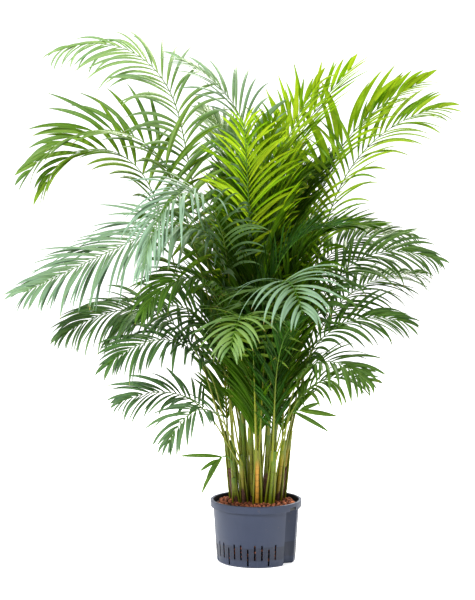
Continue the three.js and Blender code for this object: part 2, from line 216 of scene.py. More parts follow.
def geometry_tree(name, amounts):
    """Starts a tree with a geometry and an input for each amount. A material is a str."""
    Field.tree = tree = bpy.data.node_groups.new(name, "GeometryNodeTree")
    face = tree.interface
    face.new_socket("Geometry", in_out="INPUT", socket_type="NodeSocketGeometry")
    for label, value in amounts.items():
        socket = face.new_socket(label, in_out="INPUT", socket_type=SOCKET_KINDS[type(value)])
        if not isinstance(value, str):
            socket.default_value = value
    face.new_socket("Geometry", in_out="OUTPUT", socket_type="NodeSocketGeometry")
    entry = tree.nodes.new("NodeGroupInput")
    return {socket.name: Field(socket) for socket in entry.outputs if socket.name}


def end_tree(geometry):
    plug(Field.tree.nodes.new("NodeGroupOutput").inputs[0], geometry)
    return Field.tree


def settle(piece):
    """Turns what a piece's modifiers make into its own plain mesh, and removes them."""
    depsgraph = bpy.context.evaluated_depsgraph_get()
    evaluated = piece.evaluated_get(depsgraph)
    made = bpy.data.meshes.new_from_object(
        evaluated, preserve_all_data_layers=True, depsgraph=depsgraph)
    piece.modifiers.clear()
    piece.data = made
    return piece


def grow(name, mesh, tree, amounts):
    piece = bpy.data.objects.new(name, mesh)
    modifier = piece.modifiers.new("rule", "NODES")
    modifier.node_group = tree
    for item in tree.interface.items_tree:
        if item.in_out == "INPUT" and item.name in amounts:
            modifier[item.identifier] = amounts[item.name]
    scene.collection.objects.link(piece)
    return settle(piece)


def act(geometry, kind, inputs=None, **settings):
    """Adds a node that works on a geometry, which is always its first input."""
    return node(kind, {0: geometry, **(inputs or {})}, **settings)


def named(name, kind="FLOAT"):
    return node("InputNamedAttribute", {"Name": name}, data_type=kind)


def marked(name):
    """Where a mark of 1 was kept under a name."""
    return over(named(name), 0.5)


def keep(geometry, name, value):
    """Stores a number or an arrow on the geometry's points under a name."""
    kind = ARROW if is_vector(value) else "FLOAT"
    return act(geometry, "StoreNamedAttribute", {"Name": name, "Value": value},
               data_type=kind, domain="POINT")


def forget(geometry, *names):
    for name in names:
        geometry = act(geometry, "RemoveAttribute", {"Name": name})
    return geometry


def chance(low, high, seed):
    """A different number for each point, the same on every run."""
    inputs = {"Min": low, "Max": high, "Seed": seed}
    return node("FunctionNodeRandomValue", inputs, data_type="FLOAT")


def one_chance(low, high, seed):
    """One number for a whole piece, the same on every run."""
    whole = node("FunctionNodeInputInt", integer=0)
    inputs = {"Min": low, "Max": high, "ID": whole, "Seed": seed}
    return node("FunctionNodeRandomValue", inputs, data_type="FLOAT")


def join(*geometries):
    joined = node("JoinGeometry")
    for geometry in geometries:
        plug(joined.socket.node.inputs[0], geometry)
    return joined


def realize(geometry):
    return act(geometry, "RealizeInstances")


def move(geometry, offset):
    return act(geometry, "SetPosition", {"Offset": offset})


def ring(sides):
    return node("CurvePrimitiveCircle", {"Resolution": sides, "Radius": 1.0})


def sweep(line, section, size=1.0):
    """A closed solid of a section carried along a line."""
    inputs = {"Profile Curve": section, "Scale": size, "Fill Caps": True}
    return act(line, "CurveToMesh", inputs)


def clad(geometry, material, where=True):
    return act(geometry, "SetMaterial", {"Selection": where, "Material": material})


print("tree helpers are ready")

# %% [markdown]
# ## Colours and finishes
# Finishes are shader trees, built with the same formulas. Colours are written as six
# figures, as a paint chart gives them, and turned into the linear values Blender uses.

# %% Colour helpers
def paint(code):
    channels = [int(code[i:i + 2], 16) / 255 for i in (0, 2, 4)]
    linear = [c / 12.92 if c <= 0.04045 else ((c + 0.055) / 1.055) ** 2.4 for c in channels]
    return (*linear, 1.0)


def blend(first, second, share):
    """Mixes two colours, each a field or a code."""
    first, second = (paint(c) if isinstance(c, str) else c for c in (first, second))
    return node("ShaderNodeMix", {0: share, 1: first, 2: second}, data_type="RGBA")


def finish(name):
    """Starts a new material, and gives it and its default shader."""
    material = bpy.data.materials.new(name)
    material.use_nodes = True
    Field.tree = material.node_tree
    return material, next(n for n in Field.tree.nodes if n.type == "BSDF_PRINCIPLED")


def grain(place, scale, detail=3.0, roughness=0.6):
    return node("ShaderNodeTexNoise", {"Vector": place, "Scale": scale, "Detail": detail,
                                       "Roughness": roughness})


def coat(shader, colour, roughness):
    plug(shader.inputs["Base Color"], colour)
    plug(shader.inputs["Roughness"], roughness)


def raise_grain(shader, height, strength, distance):
    inputs = {"Strength": strength, "Distance": distance, "Height": height}
    plug(shader.inputs["Normal"], node("ShaderNodeBump", inputs))


def mark(name):
    """A number that a piece's mesh carries under a name."""
    return node("ShaderNodeAttribute", attribute_name=name).out("Fac")


def object_place():
    return node("ShaderNodeTexCoord").out("Object")


# %% [markdown]
# ### Leaf
# A palm leaflet is a thin, leathery blade with fine veins along it. Light passes through it
# and comes out yellower, so a translucent shader is mixed with the glossy one. Old fronds
# are dark and young ones yellow-green, and fronds that light shines through are painted
# yellower still, as painted light. Some carry a pale sheen on top, a painted reflection of
# the sky. Numbers stored on the mesh say how much of each a blade has.

# %% Leaf finish
def leaf_finish():
    material, shader = finish("palm leaf")
    reach, across = mark("reach"), mark("across")
    tone, youth_and_backlight, painted_sheen = mark("tone"), mark("youth_and_backlight"), mark("painted_sheen")
    topside = over(mark("upward"), 0.0)
    blotch = grain(object_place(), 22.0, 2.0)
    green = blend("0e2c02", "2c6204", tone * 0.7 + blotch * 0.35)
    # Painted light: the yellow-green share is partly the young fronds' own colour and partly
    # painted light shining through them.
    young = blend("86b60a", "c6dc2c", tone)
    green = blend(green, young, youth_and_backlight * (0.62 + 0.38 * blotch))
    # Painted reflection: a pale grey-green sheen of reflected sky, stronger on the upper side,
    # is painted into the colour.
    painted_sheen_share = painted_sheen * (0.3 + 0.7 * topside) * (0.45 + 0.55 * ramp(reach + tone * 0.3, 0.1, 0.7))
    green = blend(green, "9dbaa8", least(painted_sheen_share, 0.8))
    rib = 1.0 - ramp(size_of(across), 0.02, 0.14)
    green = blend(green, "a9bb4e", rib * 0.35)
    withered = ramp(reach + tone * 0.05, 0.965, 1.02)
    green = blend(green, "b79a57", withered * 0.85)
    coat(shader, green, 0.42)
    shader.inputs["Specular IOR Level"].default_value = 0.16
    strands = arrow(across * 9.0, reach * 1.5, tone * 20.0)
    raise_grain(shader, grain(strands, 3.0, 1.0), 0.25, 0.0006)
    glow = blend(green, "b4dc10", 0.25 + youth_and_backlight * 0.35)
    through = node("ShaderNodeBsdfTranslucent", {"Color": glow})
    both = node("ShaderNodeMixShader", {0: 0.28, 1: Field(shader.outputs[0]), 2: through})
    plug(Field.tree.nodes["Material Output"].inputs["Surface"], both)
    return material


leaf_material = leaf_finish()
print("finish:", leaf_material.name)

# %% [markdown]
# ### Stalk, cane and husk
# Stalks are waxy and yellow where they leave the cane, and greener towards the tip. Canes
# are golden or green between darker rings, the scars of fallen leaves. Old leaf bases dry
# into a brown, papery husk with long fibres.

# %% Stalk finish
def stalk_finish():
    material, shader = finish("palm stalk")
    share = mark("share")
    streak = grain(object_place(), 60.0)
    colour = blend("5c6a06", "8c8a0e", streak)
    colour = blend(colour, "4a7410", ramp(share, 0.15, 0.75))
    colour = blend(colour, "3d5d14", ramp(streak, 0.45, 0.8) * 0.6)
    coat(shader, colour, 0.38)
    raise_grain(shader, streak, 0.2, 0.0005)
    return material


# %% Cane finish
def cane_finish():
    material, shader = finish("palm cane")
    ripe, scar, rise = mark("ripe"), mark("scar"), mark("rise")
    place = object_place()
    fibre = grain(place * (1.0, 1.0, 0.12), 260.0, 4.0)
    patch = grain(place, 34.0, 4.0)
    colour = blend("405c04", "728408", patch)
    colour = blend(colour, "b98a30", ripe)
    colour = blend(colour, "47680e", ramp(rise, 0.6, 0.9) * 0.8)
    colour = blend(colour, "6a4a26", ramp(patch, 0.58, 0.72) * 0.45)
    colour = blend(colour, "4c321e", scar * 0.5)
    coat(shader, colour, 0.44)
    raise_grain(shader, fibre, 0.3, 0.0006)
    return material


# %% Husk finish
def husk_finish():
    material, shader = finish("dry husk")
    place = object_place()
    fibre = grain(place * (1.0, 1.0, 0.08), 420.0, 4.0)
    patch = grain(place, 45.0, 3.0)
    colour = blend("3a2722", "7d5a48", fibre)
    colour = blend(colour, "a98f78", ramp(patch, 0.55, 0.75) * 0.5)
    coat(shader, colour, 0.85)
    raise_grain(shader, fibre, 0.8, 0.0012)
    return material


stalk_material, cane_material, husk_material = stalk_finish(), cane_finish(), husk_finish()
print("finishes:", stalk_material.name, cane_material.name, husk_material.name)

# %% [markdown]
# ### Clay and plastic
# Fired clay granules are red-brown, dusty and full of small pores. The pot is blue-grey
# moulded plastic with a fine satin grain. Its foot has stood in water, which left a darker
# band with an uneven upper edge.

# %% Clay finish
def clay_finish():
    material, shader = finish("fired clay")
    tone = mark("tone")
    place = object_place()
    pores = grain(place, 900.0, 3.0)
    patch = grain(place, 90.0, 3.0)
    painted_light = mark("painted_light")
    colour = blend("5a3022", "b5704f", tone * 0.75 + patch * 0.3)
    colour = blend(colour, "2a1812", ramp(pores, 0.55, 0.75) * 0.7)
    # Painted light and shade: where the painted light share is low the clay is painted darker,
    # and on the body under the granules, which has none, near-black.
    colour = blend("120b08", colour, painted_light)
    coat(shader, colour, 0.95)
    raise_grain(shader, pores, 0.7, 0.0012)
    return material


# %% Pot finish
def pot_finish():
    material, shader = finish("pot plastic")
    place = object_place()
    x, y, z = parts(place)
    satin = grain(place, 1400.0, 2.0)
    cloud = grain(place, 9.0, 3.0)
    colour = blend("2a3246", "333c52", cloud)
    edge = grain(arrow(x * 9.0, y * 9.0, 0.0), 1.0, 0.0)
    top = 0.050 + edge * 0.028
    wet = ramp(z, 0.018, 0.026) * (1.0 - ramp(z - top, -0.001, 0.001))
    colour = blend(colour, "20232f", wet * 0.55)
    radius = plain("SQRT", x * x + y * y)
    # Painted shade: the wall under the turned-down lip and inside the rim is painted
    # near-black.
    painted_rim_shade = ramp(z, 0.1680, 0.1686) * (1.0 - ramp(z, 0.1882, 0.1888))
    painted_rim_shade = painted_rim_shade * (1.0 - ramp(radius, 0.1350, 0.1358))
    colour = blend(colour, "171b22", painted_rim_shade)
    dirt = grain(place, 60.0, 5.0)
    colour = blend(colour, "6b5a50", ramp(dirt, 0.62, 0.78) * 0.25)
    coat(shader, colour, 0.46 + 0.12 * satin)
    raise_grain(shader, satin, 0.12, 0.0003)
    return material


clay_material, pot_material = clay_finish(), pot_finish()
print("finishes:", clay_material.name, pot_material.name)

# %% [markdown]
# ## The clump's plan
# These tables are the plan that the fixed model was built from, in millimetres and degrees.
# Each cane leaves the fill at its own place and fans outwards. Each frond belongs to a cane
# and follows a line that starts steep and bends over.

# %% Sizes of the clump
MM = 0.001
FILL_EDGE, FILL_CROWN = 174.0, 181.0
CANE_FAN = 0.0018
SOCKET, SEAT_RADIUS = 30.0, 4.4
MIDRIB_STEPS = 60

# x and y where the cane leaves the fill, its height above the fill, its radius there
CANES = [
    (2, -51, 170, 6.5), (-37, -33, 150, 5.5), (42, -45, 165, 6), (26, -18, 240, 5.5),
    (-13, -19, 230, 5.5), (-55, -4, 190, 5.5), (64, -8, 190, 5.5), (-68, 38, 210, 5.5),
    (-29, 14, 270, 6), (6, 12, 290, 6), (40, 20, 260, 6), (76, 36, 210, 5.5),
    (-33, 58, 240, 5.5), (6, 50, 260, 5.5), (44, 66, 230, 5.5), (-60, -30, 80, 4.5),
]

# %% Fronds of the clump
# cane, bearing, slope at foot and tip, where it bends from and to, length, leaflet length,
# hang, roll, bare share of the stalk. The ninth and the last are small, with a few broad
# leaflets at the tip that are turned to the front.
FRONDS = [
    (1, 255, 84, -50, 0.4, 1, 680, 180, 50, 0, 0.47),
    (1, 318, 86, 0, 0.44, 1.08, 870, 210, 50, 25, 0.24),
    (1, 120, 88, 50, 0.43, 1.08, 950, 220, 50, -15, 0.2),
    (2, 190, 60, -20, 0.2, 1, 475, 150, 50, -35, 0.44),
    (2, 228, 60, -50, 0.21, 1, 440, 150, 50, -20, 0.45),
    (2, 174, 80, -50, 0.34, 1, 800, 185, 60, -40, 0.39),
    (3, 345, 72, -10, 0.23, 1, 440, 140, 60, 30, 0.46),
    (3, 288, 84, 15, 0.27, 1, 590, 150, 60, 10, 0.16),
    (3, 15, 76, 8, 0.5, 1, 190, 200, 40, 78, 0.88),
    (4, 285, 82, -45, 0.39, 1, 740, 220, 50, 15, 0.47),
    (4, 40, 86, 30, 0.43, 1.08, 940, 220, 50, 20, 0.2),
    (4, 150, 88, 60, 0.46, 1.08, 800, 220, 50, -15, 0.14),
    (5, 262, 89, 60, 0.41, 1.08, 980, 220, 40, 0, 0.41),
    (5, 10, 88, 50, 0.42, 1.08, 840, 220, 50, 25, 0.18),
    (5, 120, 88, 55, 0.43, 1.08, 830, 220, 50, -15, 0.16),
    (6, 200, 86, -24, 0.4, 0.67, 1285, 250, 60, -25, 0.37),
    (6, 212, 74, -32, 0.21, 1, 655, 165, 60, -30, 0.44),
    (6, 225, 85, -45, 0.37, 1, 830, 190, 60, -20, 0.41),
    (7, 355, 78, -20, 0.25, 1.08, 640, 175, 60, 35, 0.41),
    (7, 317, 79, -30, 0.19, 1, 520, 160, 60, 25, 0.44),
    (7, 70, 86, 20, 0.31, 1.09, 830, 220, 50, 20, 0.2),
    (8, 180, 74, -78, 0.57, 1.07, 1245, 230, 50, -45, 0.37),
    (8, 200, 72, -30, 0.21, 1, 780, 190, 60, -35, 0.42),
    (8, 110, 82, -20, 0.31, 1.09, 930, 220, 50, -15, 0.2),
    (9, 178, 75, -48, 0.48, 1, 1335, 230, 50, -45, 0.4),
    (9, 237, 80, -70, 0.39, 1, 1150, 220, 60, -15, 0.41),
    (10, 165, 89, 20, 0.55, 1.08, 1190, 230, 50, -25, 0.42),
    (10, 30, 87, 50, 0.44, 1.08, 1070, 230, 50, 20, 0.3),
    (10, 285, 88, 60, 0.46, 1.08, 910, 220, 40, 0, 0.3),
    (11, 8, 76, 4, 0.46, 1.13, 1180, 225, 50, 45, 0.41),
    (11, 75, 86, 20, 0.42, 1.08, 1020, 230, 50, 15, 0.22),
    (11, 320, 84, 0, 0.37, 1, 840, 210, 60, 25, 0.24),
    (12, 2, 78, -25, 0.36, 1.08, 855, 195, 60, 40, 0.43),
    (12, 30, 74, 0, 0.19, 1, 800, 190, 60, 25, 0.43),
    (13, 172, 79, -24, 0.6, 1.05, 1485, 240, 50, -45, 0.39),
    (13, 95, 84, -20, 0.42, 1.08, 1040, 230, 50, 10, 0.22),
    (14, 20, 86, 45, 0.42, 1, 1180, 250, 40, 25, 0.42),
    (14, 120, 86, 20, 0.42, 1.08, 1120, 230, 50, -15, 0.3),
    (15, 11, 81, 22, 0.41, 1.09, 1245, 225, 50, 45, 0.39),
    (15, 24, 79, -5, 0.31, 1, 900, 195, 60, 30, 0.43),
    (15, 100, 80, -25, 0.42, 1.08, 990, 220, 50, 10, 0.24),
    (16, 195, 86, -40, 0.5, 1, 132, 190, 40, -78, 0.88),
]
print(len(CANES), "canes and", len(FRONDS), "fronds")


# %% The middle line of a cane and the seats of its stalks
def cane_at(number, height):
    x, y = CANES[number - 1][:2]
    fan = 1 + CANE_FAN * (height - FILL_CROWN)
    return Vector((x * fan, y * fan, height))


def cane_top(number):
    return FILL_CROWN + CANES[number - 1][2]


def seat_bearings():
    """Stalks stand evenly round the cane's axis, in the order that they lean."""
    seats = {}
    for number in range(1, len(CANES) + 1):
        own = sorted((row[1], k) for k, row in enumerate(FRONDS) if row[0] == number)
        step = 360 / len(own) if own else 0
        first = sum(b - i * step for i, (b, _) in enumerate(own)) / max(1, len(own))
        for i, (_, k) in enumerate(own):
            seats[k] = first + i * step
    return seats


SEATS = seat_bearings()


# %% The middle line of a frond, as a string of points that carry their own directions
def smoothstep(value, low, high):
    share = min(1.0, max(0.0, (value - low) / (high - low)))
    return share * share * (3 - 2 * share)


def midrib_mesh(k):
    number, bearing, foot, tip, start_bend, end_bend, length, _, _, roll, _ = FRONDS[k]
    seat, turn = math.radians(SEATS[k]), math.radians(bearing)
    point = cane_at(number, cane_top(number) - SOCKET)
    point += SEAT_RADIUS * Vector((math.cos(seat), math.sin(seat), 0))
    heading = Vector((math.cos(turn), math.sin(turn), 0))
    level = Vector((-heading.y, heading.x, 0))
    points, sides, ups = [], [], []
    for step in range(MIDRIB_STEPS + 1):
        bend = smoothstep(step / MIDRIB_STEPS, start_bend, end_bend)
        slope = math.radians(foot + (tip - foot) * bend)
        along = heading * math.cos(slope) + Vector((0, 0, math.sin(slope)))
        steep = heading * -math.sin(slope) + Vector((0, 0, math.cos(slope)))
        tilt = Matrix.Rotation(math.radians(roll), 3, along)
        points.append(point * MM)
        sides.append(tilt @ level)
        ups.append(tilt @ steep)
        point = point + along * (length / MIDRIB_STEPS)
    mesh = bpy.data.meshes.new("midrib")
    mesh.from_pydata(points, [(i, i + 1) for i in range(MIDRIB_STEPS)], [])
    for name, arrows in (("side", sides), ("up", ups)):
        store = mesh.attributes.new(name, "FLOAT_VECTOR", "POINT")
        store.data.foreach_set("vector", [c for a in arrows for c in a])
    return mesh


print("first midrib starts at", list(midrib_mesh(0).vertices[0].co))

# %% [markdown]
# ## The frond's rule
# Every frond of this palm follows one rule: a stalk that thins towards its tip, and two
# rows of narrow blades along it. The blades leave at a wide angle near the foot and at a
# narrow one near the tip, are longest in the middle, stand up in a shallow V and hang along
# an arc. That is a task for Geometry Nodes: one tree draws all forty-two fronds.

# %% One leaflet blade: a thin lozenge section swept along a line, not yet bent
BLADE_RINGS, BLADE_SIDES, STALK_SIDES = 12, 4, 10


def blade():
    line = node("CurvePrimitiveLine", {"End": (0.0, 0.0, 1.0)})
    line = act(line, "ResampleCurve", {"Count": BLADE_RINGS})
    line = keep(line, "reach", node("SplineParameter"))
    x, y, _ = parts(node("InputPosition"))
    swept = sweep(line, keep(keep(ring(BLADE_SIDES), "across", x), "upward", y))
    ends = node("InputMeshEdgeVertices")
    rise = parts(ends.out("Position 1"))[2] - parts(ends.out("Position 2"))[2]
    lengthwise = over(size_of(rise), 0.001)
    inputs = {"Selection": lengthwise, "Shade Smooth": False}
    return act(swept, "SetShadeSmooth", inputs, domain="EDGE")


# %% The stalk: a grooved section swept along the midrib, wider where it clasps the cane
GROOVE_DEPTH, CLASP_SWELL = 0.45, 0.55


def stalk(midrib, given):
    share = node("SplineParameter")
    line = act(keep(midrib, "share", share), "SetCurveNormal",
               {"Normal": named("up", ARROW)}, mode="FREE")
    x, _, _ = parts(node("InputPosition"))
    groove = ramp(x, 0.55, 1.0) * -GROOVE_DEPTH
    section = move(ring(STALK_SIDES), arrow(groove, 0.0, 0.0))
    radius = mix(given["Foot radius"], given["Tip radius"], share)
    clasp = 1.0 + CLASP_SWELL * (1.0 - ramp(share, 0.0, given["Clasp share"]))
    return sweep(line, section, radius * clasp)


# %% Where each leaflet starts, how it leaves the midrib and how far it bends
# How much leaflets differ: in their place as a share of the gap, in lift and spread in
# degrees, in hang and length as factors, and in twist in radians.
PLACE_PLAY, LIFT_PLAY, SPREAD_PLAY, TWIST_PLAY = 0.16, 9.0, 7.0, 0.5
HANG_PLAY, LENGTH_PLAY = (0.65, 1.35), (0.82, 1.06)
HAND_STEP, LEAST_BEND, MOST_DROP = 0.12, 0.04, 1.5


def leaflet_points(midrib, given):
    pairs, seed = given["Pairs"], given["Seed"]
    points = node("Points", {"Count": pairs * 2.0})
    index = node("InputIndex")
    pair = plain("FLOOR", index / 2.0)
    hand = (index - pair * 2.0) * 2.0 - 1.0
    loose = chance(-PLACE_PLAY, PLACE_PLAY, seed)
    place = plain("DIVIDE", pair + hand * HAND_STEP + loose, pairs - 1.0)
    place = least(most(place, 0.0), 1.0)
    share = mix(given["Bare share"], given["Last share"], place)

    def sample(name):
        inputs = {"Curves": midrib, "Value": named(name, ARROW), "Factor": share}
        return node("SampleCurve", inputs, data_type=ARROW, mode="FACTOR")

    side, up = sample("side"), sample("up")
    along = up.out("Tangent")
    lift = radians(given["Lift"] + chance(-LIFT_PLAY, LIFT_PLAY, seed + 1.0))
    spread = mix(given["Spread at foot"], given["Spread at tip"], place)
    spread = radians(spread + chance(-SPREAD_PLAY, SPREAD_PLAY, seed + 2.0))
    outward = side * (hand * cosine(lift)) + up * sine(lift)
    start = unit(along * cosine(spread) + outward * sine(spread))
    x, y, z = parts(start)
    heading = unit(arrow(x, y, 0.0))
    slope = plain("ARCSINE", z)
    hang = radians(given["Hang"] * chance(*HANG_PLAY, seed + 3.0))
    bend = most(least(hang, slope + MOST_DROP), LEAST_BEND)

    growth = ramp(place, -0.35, 0.4) * 0.45 + 0.55
    decline = 1.0 - 0.68 * ramp(place, 0.58, 1.08)
    length = given["Leaflet length"] * growth * decline
    length = length * chance(*LENGTH_PLAY, seed + 4.0)

    hx, hy, _ = parts(heading)
    crosswise = arrow(-hy, hx, 0.0)
    upright = heading * -sine(slope) + arrow(0.0, 0.0, cosine(slope))
    width = unit(along - start * dot(along, start))
    flat, tilted = dot(width, crosswise), dot(width, upright)
    turned = plain("SIGN", flat + 0.0001)
    points = keep(points, "root", up.out("Position"))
    points = keep(points, "heading", heading)
    points = keep(points, "arc", arrow(slope, bend, length))
    points = keep(points, "lean", arrow(flat * turned, tilted * turned, hand))
    points = keep(points, "tone", chance(0.0, 1.0, seed + 5.0))
    return keep(points, "twist", chance(-TWIST_PLAY, TWIST_PLAY, seed + 6.0))


# %% Bending every blade along its own arc
BLADE_OUTLINE = [(0, 0.22), (0.06, 0.45), (0.2, 0.86), (0.4, 1.0),
                 (0.65, 0.84), (0.85, 0.45), (0.96, 0.14), (1, 0.015)]


def bend_blades(blades, given):
    reach, across, upward = (named(n) for n in ("reach", "across", "upward"))
    heading = named("heading", ARROW)
    slope, bend, length = parts(named("arc", ARROW))
    flat, tilted, _ = parts(named("lean", ARROW))
    hx, hy, _ = parts(heading)
    crosswise = arrow(-hy, hx, 0.0)
    angle = slope - bend * reach
    out = heading * (sine(slope) - sine(angle))
    middle = (out + arrow(0.0, 0.0, cosine(angle) - cosine(slope))) * (length / bend)
    upright = heading * -sine(angle) + arrow(0.0, 0.0, cosine(angle))
    width = crosswise * flat + upright * tilted
    ridge = upright * flat - crosswise * tilted
    twist = named("twist") * reach
    edge = width * cosine(twist) + ridge * sine(twist)
    crest = ridge * cosine(twist) - width * sine(twist)

    half = curve_of(reach, BLADE_OUTLINE) * given["Leaflet width"]
    half = half * (0.5 * (0.86 + 0.28 * named("tone")))
    fold = radians(mix(given["Fold"], given["Fold"] * 0.35, reach))
    thick = given["Blade thickness"] * (1.0 - 0.8 * reach)
    place = named("root", ARROW) + middle
    place = place + edge * (across * half * cosine(fold))
    drop = thick * upward - size_of(across) * half * sine(fold)
    return act(blades, "SetPosition", {"Position": place + crest * drop})


# %% The whole frond tree
FROND_AMOUNTS = {
    "Pairs": 30, "Seed": 1, "Bare share": 0.34, "Last share": 0.985,
    "Leaflet length": 0.24, "Leaflet width": 0.015, "Blade thickness": 0.0004,
    "Spread at foot": 58.0, "Spread at tip": 20.0, "Lift": 24.0, "Hang": 50.0,
    "Fold": 24.0, "Foot radius": 0.0028, "Tip radius": 0.0007, "Clasp share": 0.1,
    "Youth and backlight": 0.3, "Painted sheen": 0.0, "Leaf finish": "", "Stalk finish": "",
}


def frond_tree():
    given = geometry_tree("frond", FROND_AMOUNTS)
    midrib = act(given["Geometry"], "MeshToCurve")
    points = leaflet_points(midrib, given)
    inputs = {"Points": points, "Instance": blade()}
    blades = realize(node("InstanceOnPoints", inputs))
    blades = keep(bend_blades(blades, given), "leafy", 1.0)
    both = realize(join(blades, stalk(midrib, given)))
    both = forget(both, "root", "heading", "arc", "lean", "twist", "side", "up")
    both = keep(keep(both, "youth_and_backlight", given["Youth and backlight"]), "painted_sheen", given["Painted sheen"])
    both = clad(both, given["Stalk finish"])
    return end_tree(clad(both, given["Leaf finish"], marked("leafy")))


frond_rule = frond_tree()
print("frond rule:", len(frond_rule.nodes), "nodes")

# %% [markdown]
# ### Growing the fronds
# The rule is the same for all, and the amounts differ. A long frond has more pairs. Young
# top fronds are yellow-green, and they are painted yellower still as painted light shining
# through them. Fronds that face the sky carry a pale sheen, a painted reflection of the
# sky, and old ones low in the clump are dark.

# %% Young colour with painted backlight, and painted sheen, of each frond
LIGHT = {
    1: (0.4, 0.3), 2: (0.0, 0.05), 3: (0.1, 0.0), 4: (0.05, 0.25), 5: (0.1, 0.3),
    6: (0.1, 0.15), 7: (0.25, 0.1), 8: (0.0, 0.05), 9: (0.25, 0.1), 10: (0.25, 0.75),
    11: (0.15, 0.0), 12: (0.1, 0.0), 13: (1.0, 0.0), 14: (0.15, 0.0), 15: (0.1, 0.0),
    16: (0.15, 0.55), 17: (0.05, 0.15), 18: (0.1, 0.05), 19: (0.1, 0.1), 20: (0.15, 0.1),
    21: (0.15, 0.0), 22: (0.35, 0.05), 23: (0.1, 0.2), 24: (0.15, 0.05), 25: (0.3, 0.15),
    26: (0.2, 0.85), 27: (0.35, 0.6), 28: (0.8, 0.0), 29: (0.4, 0.0), 30: (0.7, 0.05),
    31: (0.25, 0.0), 32: (0.1, 0.0), 33: (0.15, 0.15), 34: (0.1, 0.05), 35: (0.55, 0.45),
    36: (0.2, 0.05), 37: (1.0, 0.0), 38: (0.35, 0.3), 39: (0.75, 0.0), 40: (0.15, 0.1),
    41: (0.2, 0.05), 42: (0.3, 0.1),
}


# %% Manner of each frond
# spread at foot and tip, lift, hang, in degrees, then leaflet width and gap in millimetres
MANNER = (60, 20, 24, None, 11, 15)
INNER = (3, 11, 12, 14, 15, 21, 24, 31, 32, 36, 38, 41)
MANNERS = {k: (27, 14, 14, 24, 12, 13) for k in INNER}
MANNERS.update({
    1: (80, 42, 24, 62, 10, 17), 2: (38, 16, 20, 18, 7, 15), 8: (32, 14, 14, 16, 7, 15),
    9: (44, 18, 4, 10, 16, 12), 10: (82, 44, 24, 62, 10, 17),
    13: (58, 24, 34, 42, 9, 15), 16: (72, 32, 12, 38, 12, 13), 22: (60, 24, 34, 44, 15, 31),
    25: (60, 24, 38, 36, 15, 31), 26: (50, 22, 24, 60, 9, 17), 27: (55, 20, 24, 50, 10, 19),
    28: (44, 16, 24, 30, 11, 20), 29: (40, 14, 24, 30, 10, 16), 30: (56, 20, 34, 46, 11, 22),
    35: (56, 20, 10, 66, 11, 22), 37: (48, 20, 30, 22, 13, 27), 39: (50, 22, 44, 34, 15, 24),
    42: (34, 14, 4, 14, 15, 8),
})

# %% Grow them all
def grow_frond(k):
    length, leaflet, hang, _, bare = FRONDS[k][6:]
    name = f"frond_{k + 1:02d}"
    youth_and_backlight, painted_sheen = LIGHT[k + 1]
    foot, tip, lift, own_hang, width, gap = MANNERS.get(k + 1, MANNER)
    bare *= 0.35 if k + 1 in INNER else 1.0
    pairs = max(2, round(length * (0.97 - bare) / gap))
    piece = grow(name + "_leaf", midrib_mesh(k), frond_rule, {
        "Pairs": pairs, "Seed": 100 * (k + 1), "Bare share": bare,
        "Leaflet length": leaflet * MM, "Leaflet width": width * MM,
        "Spread at foot": float(foot), "Spread at tip": float(tip), "Lift": float(lift),
        "Hang": float(own_hang or hang), "Foot radius": 3.3 * MM,
        "Tip radius": (1.6 if pairs == 2 else 0.7) * MM,
        "Clasp share": 40.0 / length, "Youth and backlight": youth_and_backlight, "Painted sheen": painted_sheen,
        "Leaf finish": leaf_material, "Stalk finish": stalk_material})
    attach(piece, "root")
    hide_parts(name)
    return piece, pairs


fronds = [grow_frond(k) for k in range(len(FRONDS))]
faces = sum(len(piece.data.polygons) for piece, _ in fronds)
print("fronds:", len(fronds), " pairs:", sum(pairs for _, pairs in fronds), " faces:", faces)

# %% [markdown]
# ## Canes
# A palm cane doesn't thicken with age. It carries a ring wherever a leaf has fallen. Its
# top is wrapped in a sheath, from which the stalks rise. Some canes keep a dry husk of old
# leaf bases round their foot, and thin old leaf stalks stand close beside them. Each of
# these is a section swept along a line by a rule, so this is a geometry tree too.

# %% The cane's rule
CANE_AMOUNTS = {
    "Seed": 1, "Foot radius": 0.0055, "Taper": 0.86, "Buried": 0.03, "Cane length": 0.4,
    "Sheath length": 0.06, "Sheath radius": 0.0076, "Mouth radius": 0.0062,
    "Ring step": 0.03, "Ripe": 0.5, "Husk height": 0.0, "Husk thickness": 0.0012,
    "Cane finish": "", "Husk finish": "", "Stalk finish": "",
}
CANE_RINGS, CANE_SIDES, FRAY_LENGTH = 190, 14, 0.07
# The old stalks stand from the right round the back to the left, each with a radius and a
# gap to the cane that shrink from foot to top.
OLD_STALKS, OLD_STALK_STEP, OLD_STALK_SIDES = 5, math.pi / 4, 8
OLD_STALK_RADII, OLD_STALK_GAPS = (0.0032, 0.0022), (0.0075, 0.0015)


def cane_radius(given, height):
    """Radius of the cane at a height above the fill, and how much of a ring scar is there."""
    share = height / given["Cane length"]
    radius = given["Foot radius"] * mix(1.0, given["Taper"], least(most(share, 0.0), 1.0))
    rings = height / given["Ring step"]
    off = size_of(rings - plain("ROUND", rings)) * given["Ring step"]
    scar = (1.0 - ramp(off, 0.0003, 0.0022)) * (1.0 - ramp(share, 0.55, 0.8))
    up_to_mouth = given["Cane length"] - height
    swell = 1.0 - ramp(up_to_mouth, given["Sheath length"] * 0.55,
                       given["Sheath length"] * 1.5)
    narrow = 1.0 - ramp(up_to_mouth, 0.0, given["Sheath length"] * 0.5)
    sheath = mix(given["Sheath radius"], given["Mouth radius"], narrow)
    return mix(radius * (1.0 + scar * 0.07), sheath, swell), scar


